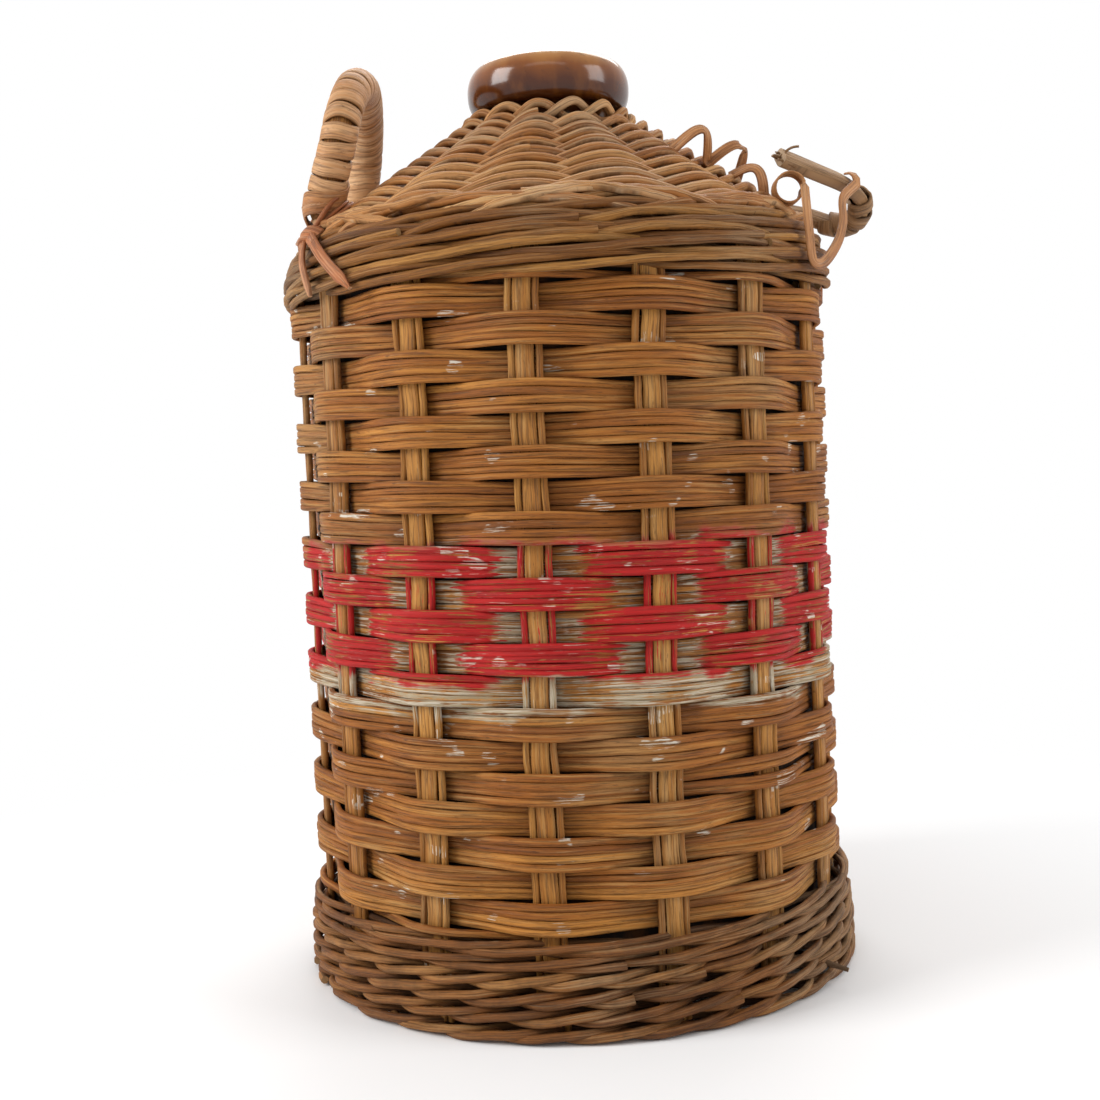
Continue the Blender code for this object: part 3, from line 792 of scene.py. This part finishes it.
def make_bands():
    zones = five_rod_zones()
    piece_steps = 2 * ceil(band_steps / band_piece_count / 2)
    for number in range(band_piece_count):
        first, last = number * piece_steps, min((number + 1) * piece_steps, band_steps)
        bundle = Bundle(8, 0.1004, 0.0105)
        for rod in range(band_rods):
            breaks = [first]
            while breaks[-1] + band_unbroken_steps < last:
                breaks.append(breaks[-1] + 2 * int(chance.integers(9, 24)))
            breaks.append(last)
            if first == 0:
                breaks[0] = -2 * round(rod * stake_count / band_rods / 2)
            if last == band_steps:
                breaks[-1] += 2 * round((band_rods - 1 - rod) * stake_count / band_rods / 2)
            for start, end in zip(breaks, breaks[1:]):
                add_band_rod(bundle, start, end, rod, zones)
        for start, end in zones:
            start, end = max(start, first), min(end, last)
            if end - start >= 4:
                add_band_rod(bundle, start, end, band_rods, zones)
        bundle.make(f"band_rods_{number + 1}", cane_wood, "cane", f"body_weave_{number + 1}")


def add_band_rod(bundle, start, end, rod, zones):
    """One rod of the band; where there are five, all are narrower and the upper two move up."""
    steps, points, out, radius = band_route(start, end)
    share = np.zeros(len(steps))
    for first, last in zones:
        rise = np.clip((steps - first) / 1.5, 0, 1) * np.clip((last - steps) / 1.5, 0, 1)
        share = np.maximum(share, rise)
    if rod == band_rods:
        slot, share = 2.0, np.ones(len(steps))
    else:
        slot = rod + share * (1 if rod >= 2 else 0)
    count, narrow = 4 + share, 1 - five_rod_narrowing * share
    pitch = (band_pitch - band_rod_gap) / count
    length = steps * stake_radius * stake_step
    over = -np.cos(pi * steps)
    rise = (slot - (count - 1) / 2) * pitch * (1 + band_swell * over) + band_arch * over
    points[:, 2] += rise + waver(length, 0.00018, 0.16)
    points += out * waver(length, 0.00018, 0.11)[:, None]
    width = band_pitch / 4 * narrow * (1 + waver(length, 0.035, 0.2)) * draw(1.00, 1.07)
    thickness = band_rod_thickness * (0.86 + 0.14 * narrow) * draw(0.92, 1.04)
    bundle.add(points, out, width, thickness, draw(0.15, 0.95), radius, 0.56)


# Twisted rods of the foot, the border and the cone
def ring_angles(overlap, per_circle):
    """Angles from a random start, once round and a little further."""
    turn = 2 * pi + overlap
    start = draw(0, 2 * pi)
    return np.linspace(start, start + turn, int(per_circle * turn / (2 * pi)) + 1)


def ease_out(phase):
    """A strand's reach: outside for most of its turn, and inside for a short way."""
    return 1 - 2 * (0.5 - 0.5 * np.cos(phase)) ** 2


def add_wale(bundle, angle, distance, offset, inner, outer, climb, span, radius, seed):
    """Strands that twist round each other along a row, out and in again once a span, with a few ends."""
    length = (angle - angle[0]) * stake_radius
    for strand in range(wale_strands):
        phase = 2 * pi * ((angle - stake_turn) / span - strand / wale_strands) + seed
        lift = (outer + inner) / 2 + ease_out(phase) * (outer - inner) / 2
        lift = lift + waver(length, 0.00018, 0.05)
        size = radius * (1 + waver(length, 0.06, 0.13)) * draw(0.92, 1.04)
        rise = climb * np.sin(phase) + waver(length, 0.00022, 0.09)
        breaks = [0]
        for end in range(wale_ends):
            place = int(chance.integers(0, len(angle)))
            while place < len(angle) and cos(phase[place]) < 0.93:
                place += 1
            if breaks[-1] + wale_end_margin < place < len(angle) - wale_end_margin:
                breaks.append(place)
        breaks.append(len(angle) - 1)
        for number, (first, last) in enumerate(zip(breaks, breaks[1:])):
            part = slice(first, last + 1)
            sunk = lift[part]
            if number > 0:
                tucked = np.clip(1 - np.arange(len(sunk)) / wale_tuck_samples, 0, 1)
                sunk = sunk - tucked * wale_tuck_depth * radius
            points, out = on_casing(angle[part], distance + rise[part], offset, sunk)
            bundle.add(points, out, 2 * size[part], 2 * size[part], draw(0.1, 0.95), sunk)


def make_foot():
    level = 0.0
    for number, (radius, half_height) in enumerate(zip(foot_rod_radii, foot_rod_half_heights)):
        middle = level + half_height
        span = (1.5 if number < foot_short_rows else 3) * stake_step
        thick = foot_strand_radius * (0.55 + 0.45 * radius / foot_rod_radius)
        outer = stake_outside + 2 * radius - thick
        bundle = Bundle(8, outer + thick, 0.0085)
        climb = min(foot_strand_climb, middle - thick - 0.0001)
        add_wale(bundle, ring_angles(0.16, 420), middle, 0.0, foot_strand_inner, outer, climb, span,
                 thick, number * 1.7)
        if number == 0:
            twig = np.linspace((0.0815, -0.0575, 0.0080), (0.0902, -0.0615, 0.0058), 8)
            width = np.linspace(0.0024, 0.0015, 8)
            bundle.add(twig, (0, 0, 1), width, width, 0.0)
        bundle.make(f"foot_strands_{number + 1}", foot_wood, "rod", f"foot_rod_{number + 1}")
        level = middle + half_height + foot_rod_gap


def make_border():
    thick = border_strand_radius
    outer = border_rod_radius - thick + 0.0002
    for number in range(border_rod_count):
        middle = border_foot + border_rod_radius + number * border_rod_pitch
        bundle = Bundle(8, outer + thick, 0.0075)
        add_wale(bundle, ring_angles(0.2, 360), middle, stake_outside + border_rod_radius,
                 border_strand_inner[number], outer, border_strand_climb, border_span, thick, number * 2.3)
        bundle.make(f"border_strands_{number + 1}", rod_wood, "rod", f"border_rod_{number + 1}")


def add_loose_strands(bundle, offset, start):
    """Long strands that cross each other between the border and the cone, a few with an end that shows."""
    share = np.linspace(0, 1, 44)
    bow = np.sin(pi * share) ** 0.6
    for number in range(loose_strands):
        first = 2 * pi * (number + draw(-0.3, 0.3)) / loose_strands
        angle = first + loose_span * draw(0.7, 1.2) * share
        low, high = draw(-0.0035, -0.0005), draw(0.0055, 0.0105)
        distance = start + low + (high - low) * (share if number % 3 else 1 - share)
        lift = -0.0030 + bow * draw(0.0052, 0.0076) + waver(share, 0.0003, 0.4)
        if number % 6 == 4:
            lift = lift + 0.0045 * np.clip((share - 0.7) / 0.3, 0, 1)
        points, out = on_casing(angle, distance, offset, lift)
        size = 2 * cone_strand_radius * draw(0.85, 1.08)
        bundle.add(points, out, size, size, draw(0.3, 0.95), lift)


def add_cone_pair(bundle, offset, steps, distance, width, raised):
    """Two strands that pass each other between the stakes."""
    for strand in range(2):
        phase = pi * (steps - strand)
        lift = cone_rise + cone_hump * (np.cos(phase) - 0.30 * np.sin(phase))
        lift = lift + waver(steps, 0.00020, 3.1) + raised
        rise = 0.0010 * np.sin(phase) + 0.0013 * np.cos(phase) + waver(steps, 0.00020, 4.7)
        points, out = on_casing(stake_angle(steps), distance + rise, offset, lift)
        size = width * (1 + waver(steps, 0.05, 5.3))
        bundle.add(points, out, size, size, draw(0.4, 0.9), lift)


def make_cone():
    offset = stake_outside + cone_weave_thickness / 2
    start, end = cone_foot(offset), distance_at_radius(cone_top_radius, offset)
    pitch = (end - start + turn_gap) / (cone_weave_turns + 1)
    steps_total = cone_weave_turns * stake_count
    width = 2 * cone_strand_radius
    for number in range(cone_weave_piece_count):
        first, last = [row * steps_total // cone_weave_piece_count for row in (number, number + 1)]
        steps = np.arange(first * cone_samples, last * cone_samples + 1) / cone_samples
        distance = start + pitch / 2 - turn_gap / 2 + pitch * steps / stake_count
        tucked = np.clip((steps - steps_total + 2) / 2, 0, 1)
        shrink = np.interp(steps, (0, steps_total), (1.05, 0.88))
        bundle = Bundle(8, 0.0027 + cone_strand_radius, 0.0062)
        if number == 0:
            add_loose_strands(bundle, offset, start)
        add_cone_pair(bundle, offset, steps, distance - cone_end_tuck * tucked, width * shrink, 0.0)
        if last == steps_total:
            closing = np.arange(0, stake_count * cone_samples + 9) / cone_samples
            add_cone_pair(bundle, offset, closing, end + closing_reach, width * 0.95, closing_lift)
        bundle.make(f"cone_pairs_{number + 1}", top_lit_cone_wood, "cane", f"cone_weave_{number + 1}")


def make_base():
    """Split sticks that cross under the jar, and the rods woven round them."""
    sticks = Bundle(10, 0.0, 0.010)
    distance = np.linspace(0.004, base_reach - 0.0005, base_samples)
    spread = base_stick_width / 4 * np.clip(distance / base_hub_radius, 0.55, 1)
    width = base_stick_width / 2 * np.clip(distance / base_hub_radius, 0.5, 1)
    for number in range(stake_count):
        angle = stake_angle(number)
        for side in (-1, 1):
            points = polar(distance, angle, base_stick_thickness / 2)
            points = points + sideways(angle) * (side * spread)[:, None]
            sticks.add(points, (0, 0, -1), width, base_stick_thickness, draw(0.2, 0.8), power=0.8)
    sticks.make("base_split_sticks", base_wood, "base", "base_sticks")
    weave = Bundle(8, 0.0, 0.012)
    pitch = (base_reach - base_weave_edge_gap - base_hub_radius) / (base_weave_turns + 1)
    height = base_stick_thickness + clearance + base_weave_thickness / 2 + base_rod_rise
    steps = np.arange(0, base_weave_turns * stake_count * 12 + 1) / 12
    for rod in range(base_rods):
        radius = base_hub_radius + pitch * (steps / stake_count + (rod + 0.5) / base_rods)
        dip = base_rod_dip * (1 + np.cos(pi * (steps + rod % 2))) / 2
        points = polar(radius, stake_angle(steps), height - dip)
        weave.add(points, (0, 0, -1), pitch / base_rods * 0.97, base_rod_thickness, draw(0.2, 0.8))
    weave.make("base_woven_rods", base_wood, "base", "base_weave")


# Handles
def handle_root(number):
    """Points from a handle's seat on the cone, straight out of it."""
    seat, normal = cone_seat(gap_angle(number), handle_foot_radius, clearance)
    return [seat + normal * handle_root_length * share for share in (0, 1 / 2, 1)]


def left_handle_route():
    front, rear = handle_root(left_front_gap), handle_root(left_rear_gap)
    arch = []
    for turn in np.linspace(pi, 0, 9):
        arch.append(np.array((handle_lean_in * sin(turn) - handle_arch_reach,
                              handle_half_spread * cos(turn),
                              handle_arch_foot + handle_arch_height * sin(turn))))
    return front[:1] + smooth_route(front[1:] + arch + rear[:0:-1], 6) + rear[:1]


right_root = handle_root(right_gap)
broken_points = [right_root[-1] + np.array(shares) * broken_span for shares in broken_route_shares]
right_route = right_root[:1] + smooth_route(right_root[1:] + broken_points, 6)


def add_wrap(bundle, route, core_radius, start, loops, width, thickness, pitch):
    """A flat cane wound round a core."""
    turn = np.linspace(0, 2 * pi * loops, int(loops * 28))
    length = start + pitch * turn / (2 * pi) + waver(turn, 0.00045, 9.0)
    tilt = 0.0008 * np.sin(turn + 1.0)
    radius = core_radius + thickness / 2 + cane_slack + waver(turn, 0.0001, 3.0)
    points, way = beside_route(route_frames(route), length + tilt, turn, radius)
    width = width * (1 + waver(turn, 0.06, 11.0))
    bundle.add(points, way, width, thickness, draw(0.3, 0.9), power=0.45)


def make_left_handle():
    route = left_handle_route()
    points, lengths, _, sides = route_frames(route)
    core = Bundle(16, 0.004, 0.02)
    core.add(points, sides, 2 * handle_core_radius, 2 * handle_core_radius, 0.4)
    core.make("left_handle_rod", rod_wood, "rod", "left_handle_core")
    wrap = Bundle(12, 0.001, 0.0016)
    length = lengths[-1]
    loops = (length - 2 * cane_bare_end) / cane_pitch
    add_wrap(wrap, route, handle_core_radius, cane_bare_end, loops, cane_width, cane_thickness, cane_pitch)
    # Turns over the first layer at both feet: start, turns and pitch
    for start, count, pitch in (
            (0.0030, 1.0, 0.0145), (0.0062, 1.0, 0.0145),
            (length - 0.0190, 1.0, 0.0110), (length - 0.0160, 1.0, 0.0110),
            (length - 0.0116, 2.6, 0.0036)):
        add_wrap(wrap, route, handle_core_radius + over_cane_lift, start, count,
                 over_cane_width, over_cane_thickness, pitch)
    wrap.make("left_handle_canes", wrap_wood, "wrap", "left_handle_wrap")


def lashing_route(number, core_radius, rise, reach_extra, splays, knotted):
    """A loop over a handle's root with two tails down the border; a knot draws the tails together."""
    angle = gap_angle(number)
    seat, normal = cone_seat(angle, handle_foot_radius, lashing_rise + rise)
    across = sideways(angle)
    uphill = forward(np.cross(across, normal), 2)
    reach = core_radius + clearance + lashing_radius + reach_extra
    loop = []
    for turn in np.linspace(0, pi, 7):
        loop.append(seat + (across * cos(turn) + uphill * sin(turn)) * reach)
    share = np.linspace(0, 1, 10)
    radius, level = casing_place(tail_distance(share, reach), border_face + clearance + lashing_radius)
    lean = reach / stake_radius
    spread = share
    if knotted:
        lean = lean * np.interp(share, (0, knot_share, knot_share + 0.1, 1), (1, 0.2, 0.25, 1))
        spread = share ** 0.6
    first = list(polar(radius, angle + lean + splays[0] * spread, level))
    last = list(polar(radius, angle - lean + splays[1] * spread, level))
    return np.array(smooth_route(first[::-1] + loop + last, 5))


def tail_distance(share, reach):
    """How far along the casing's line a share of a lashing's tail has come."""
    top = distance_at_radius(handle_foot_radius, cone_weave_face) - reach
    return top + (border_foot - lashing_tail_drop - top) * share


def add_binding(bundle, route, width, thickness):
    outward = route - np.array((0, 0, route[:, 2].min() - 0.05))
    bundle.add(route, unit(outward), width, thickness, draw(0.0, 0.4), power=0.55)


def make_lashing(name, number, core_radius, node, splays, knotted=False):
    bundle = Bundle(10, 0.002, 0.012)
    route = lashing_route(number, core_radius, 0.0, 0.0, splays, knotted)
    along = np.linspace(0, 1, len(route))
    taper = np.interp(along, (0, 0.05, 0.3, 0.7, 0.96, 1), (0.35, 1.15, 1, 0.9, 0.75, 0.3))
    add_binding(bundle, route, binding_width * taper, binding_thickness)
    if knotted:
        for rise, extra in ((0.0030, 0.0004), (-0.0016, 0.0012)):
            turn = lashing_route(number, core_radius, rise, extra, splays, knotted)[32:-32]
            add_binding(bundle, turn, knot_cane_width, knot_cane_thickness)
        share = np.linspace(-1, 1, 13)
        angle = gap_angle(number) + splays[0] * knot_share ** 0.6 + knot_half_angle * share
        middle = tail_distance(knot_share, core_radius + lashing_radius)
        for shift, bow in ((0.0, 0.0034), (-0.0022, 0.0026)):
            lift = bow * np.cos(share * pi / 2) - 0.0012
            place = middle + shift + 0.0010 * share
            points, out = on_casing(angle, place, border_face + lashing_radius, lift)
            bundle.add(points, out, knot_turn_width, knot_cane_thickness, 0.05, power=0.6)
    bundle.make(name, binding_wood, "wrap", node)


def make_right_handle():
    """The broken shaft with its splinters and the wrap left on it."""
    core = Bundle(12, 0.003, 0.02)
    points = np.array(right_route)
    core.add(points, shaft_facing, shaft_width, shaft_thickness, 0.55, power=0.5)
    stub = points[-1]
    way = unit(stub - points[-2])
    side = unit(np.cross(way, shaft_facing))
    thick = np.linspace(0.0015, 0.0005, 6)
    for number in range(splinters):
        offset = side * draw(-0.42, 0.42) * shaft_width
        offset = offset + np.array(shaft_facing) * draw(-0.3, 0.3) * shaft_thickness
        reach = np.linspace(splinter_root, draw(0.0008, 0.0042), 6)[:, None]
        core.add(stub + offset + way * reach, shaft_facing, thick * 1.5, thick, 0.1, splinter_root)
    reach = np.linspace(0, 1, 8)[:, None]
    bow = np.array((0, 0, 0.0012)) * np.sin(3 * reach)
    twig = stub + np.array((0.0065, -0.002, 0.0030)) * reach + bow
    core.add(twig, shaft_facing, 0.0009, 0.0009, 0.2)
    core.make("right_handle_shaft", aged_wood, "rod", "right_handle_core")
    wrap = Bundle(12, 0.001, 0.0016)
    add_wrap(wrap, right_route, broken_core_radius, broken_wrap_start, broken_wrap_loops,
             cane_width, broken_cane_thickness, wrap_pitch)
    wrap.make("right_handle_canes", aged_wood, "wrap", "right_handle_wrap")


def make_ribbon(name, points, out, tint, node):
    bundle = Bundle(10, 0.001, 0.01)
    bundle.add(points, out, ribbon_width, ribbon_thickness, tint, power=0.5)
    bundle.make(name, wrap_wood, "wrap", node)


def make_strap():
    """A strap hooked over the shaft, hanging outside the border, with a small coil at its end."""
    shaft_way = unit(broken_points[5] - broken_points[3])
    side = forward(unit(np.cross((0, 0, 1), shaft_way)), 0)
    top = forward(np.cross(shaft_way, side), 2)
    hook = []
    for turn in np.linspace(pi / 2, 0, 4):
        way = side * cos(turn) + top * sin(turn)
        hook.append(broken_points[4] + way * (broken_core_radius + clearance + strap_radius))
    corners = [hook.pop()]
    for turn, radius_share, height_share in zip(strap_turns, strap_radius_shares, strap_height_shares):
        radius = (stake_radius + border_face) * radius_share
        corners.append(polar(radius, radians(turn), casing_corner_height * height_share))
    route = np.array(hook + smooth_route(corners, 8))
    turns = np.linspace(0, 2 * pi * strap_coil_loops, 24 * strap_coil_loops + 1)[1:]
    round_coil = np.stack((np.cos(turns), 0 * turns, np.sin(turns)), axis=-1)
    drift = np.stack((0 * turns, strap_coil_pitch * turns / (2 * pi), 0 * turns), axis=-1)
    coil_centre = route[-1] - np.array((strap_coil_radius, 0, 0))
    points = np.concatenate((route, coil_centre + (strap_coil_radius * round_coil + drift)))
    ways = np.concatenate((np.tile(strap_facing, (len(route), 1)), round_coil))
    blend = np.clip((np.arange(len(points)) - len(route) + strap_ease) / strap_ease, 0, 1)[:, None]
    ways = unit(ways) * blend + np.array(strap_facing) * (1 - blend)
    make_ribbon("right_ribbon_strap", points, ways, 0.3, "right_strap")


def make_curl(name, turns, radius_shares, humps, hump_height, node):
    """A curl of cane that touches the cone's weave between its humps."""
    share = np.linspace(0, 1, 24 * humps + 1)
    angle = np.radians(turns[0] + (turns[1] - turns[0]) * share)
    radius = stake_radius * (radius_shares[0] + (radius_shares[1] - radius_shares[0]) * share)
    lift = clearance + strap_radius + hump_height * np.abs(np.sin(pi * humps * share))
    points = np.array([cone_seat(*place)[0] for place in zip(angle, radius, lift)])
    level = unit(np.cross((0.0, 0.0, 1.0), unit(points[-1] - points[0])))
    out = unit(np.cross(np.gradient(points, axis=0), level)) + curl_turn
    make_ribbon(name, points, out, 0.2, node)


# Floor, light and camera
def make_floor():
    """A pale floor that fades to pure white away from the flagon."""
    web = Web(bpy.data.materials.new("pale_floor"))
    web.give(web.shader, {"Base Color": (0.93, 0.93, 0.93, 1), "Roughness": 0.9, "Specular IOR Level": 0.1})
    reach = web.add("ShaderNodeVectorMath", {0: web.place()[0]}, operation="LENGTH").outputs["Value"]
    glow = web.add("ShaderNodeEmission", {"Color": (1, 1, 1, 1), "Strength": 1.0})
    share = web.times(web.step(reach, 0.15, 0.42), web.seen())
    blend = web.add("ShaderNodeMixShader", {0: share, 1: web.shader, 2: glow})
    web.give(web.tree.nodes["Material Output"], {"Surface": blend})
    corners = [(floor_reach * x, floor_reach * y, -0.0002) for x, y in ((-1, -1), (1, -1), (1, 1), (-1, 1))]
    floor = add_mesh("floor", corners, [(0, 1, 2, 3)], web.owner)


def make_world():
    """White where it is seen, straight or in a shine, and softer as a light."""
    world = bpy.data.worlds.new("white_room")
    bpy.context.scene.world = world
    web = Web(world, "Background")
    level = web.add("ShaderNodeMapRange", {"Value": web.seen(), "To Min": sky_level, "To Max": 1.0})
    web.give(web.shader, {"Color": (1, 1, 1, 1), "Strength": level})


def turn_and_place(made, right, up, back, place):
    rows = [[right[row], up[row], back[row], place[row]] for row in range(3)]
    made.matrix_world = Matrix(rows + [[0, 0, 0, 1]])


def make_lamp(name, place, aim, size, power):
    """A lamp that points at a height on the axis."""
    data = bpy.data.lights.new(name, "AREA")
    data.shape = "RECTANGLE"
    data.size, data.size_y = size
    data.energy = power
    back = unit(np.array(place, float) - (0, 0, aim))
    right = unit(np.cross((0, 0, 1), back))
    turn_and_place(add_object(name, data), right, np.cross(back, right), back, place)


def make_camera():
    data = bpy.data.cameras.new("camera")
    data.sensor_width = 36.0
    data.lens = camera_focal_share * data.sensor_width
    data.clip_start = 0.01
    ahead = np.array((sin(camera_yaw) * cos(camera_pitch),
                      cos(camera_yaw) * cos(camera_pitch), sin(camera_pitch)))
    right = sideways(-camera_yaw)
    up = np.cross(right, ahead)
    turned = right * cos(camera_roll) + up * sin(camera_roll)
    top = -right * sin(camera_roll) + up * cos(camera_roll)
    camera = add_object("camera", data)
    turn_and_place(camera, turned, top, -ahead, camera_place)
    bpy.context.scene.camera = camera


# Everything in turn; the random draws follow this order
make_jar()
for number in range(stake_count):
    make_stake(number)
make_bands()
make_foot()
make_border()
make_cone()
make_base()
make_left_handle()
make_lashing("left_front_binding", left_front_gap, handle_core_radius, "left_front_lashing",
             (binding_wide_splay, binding_narrow_splay), knotted=True)
make_lashing("left_rear_binding", left_rear_gap, handle_core_radius, "left_rear_lashing",
             (-lashing_narrow_splay, -lashing_wide_splay))
make_lashing("right_binding", right_gap, broken_core_radius, "right_lashing", (0, 0))
make_right_handle()
make_strap()
make_curl("right_ribbon_inner", inner_curl_turns, inner_curl_radius_shares, 2, inner_curl_height,
          "right_curl_inner")
make_curl("right_ribbon_outer", outer_curl_turns, outer_curl_radius_shares, 1, outer_curl_height,
          "right_curl_outer")
make_floor()
make_world()
make_lamp("key_lamp", (-1.3, -0.42, 0.9), 0.18, (0.7, 0.8), 18)
make_lamp("fill_lamp", (1.3, -0.45, 0.8), 0.18, (0.7, 0.8), 9)
make_lamp("rear_lamp", (0.2, 1.1, 1.4), 0.2, (1.2, 0.8), 12)
make_lamp("wide_window", (-0.04, -1.1, 1.33), 0.3, (1.30, 0.25), 1.4)
make_camera()
bpy.context.scene.view_settings.view_transform = "Standard"
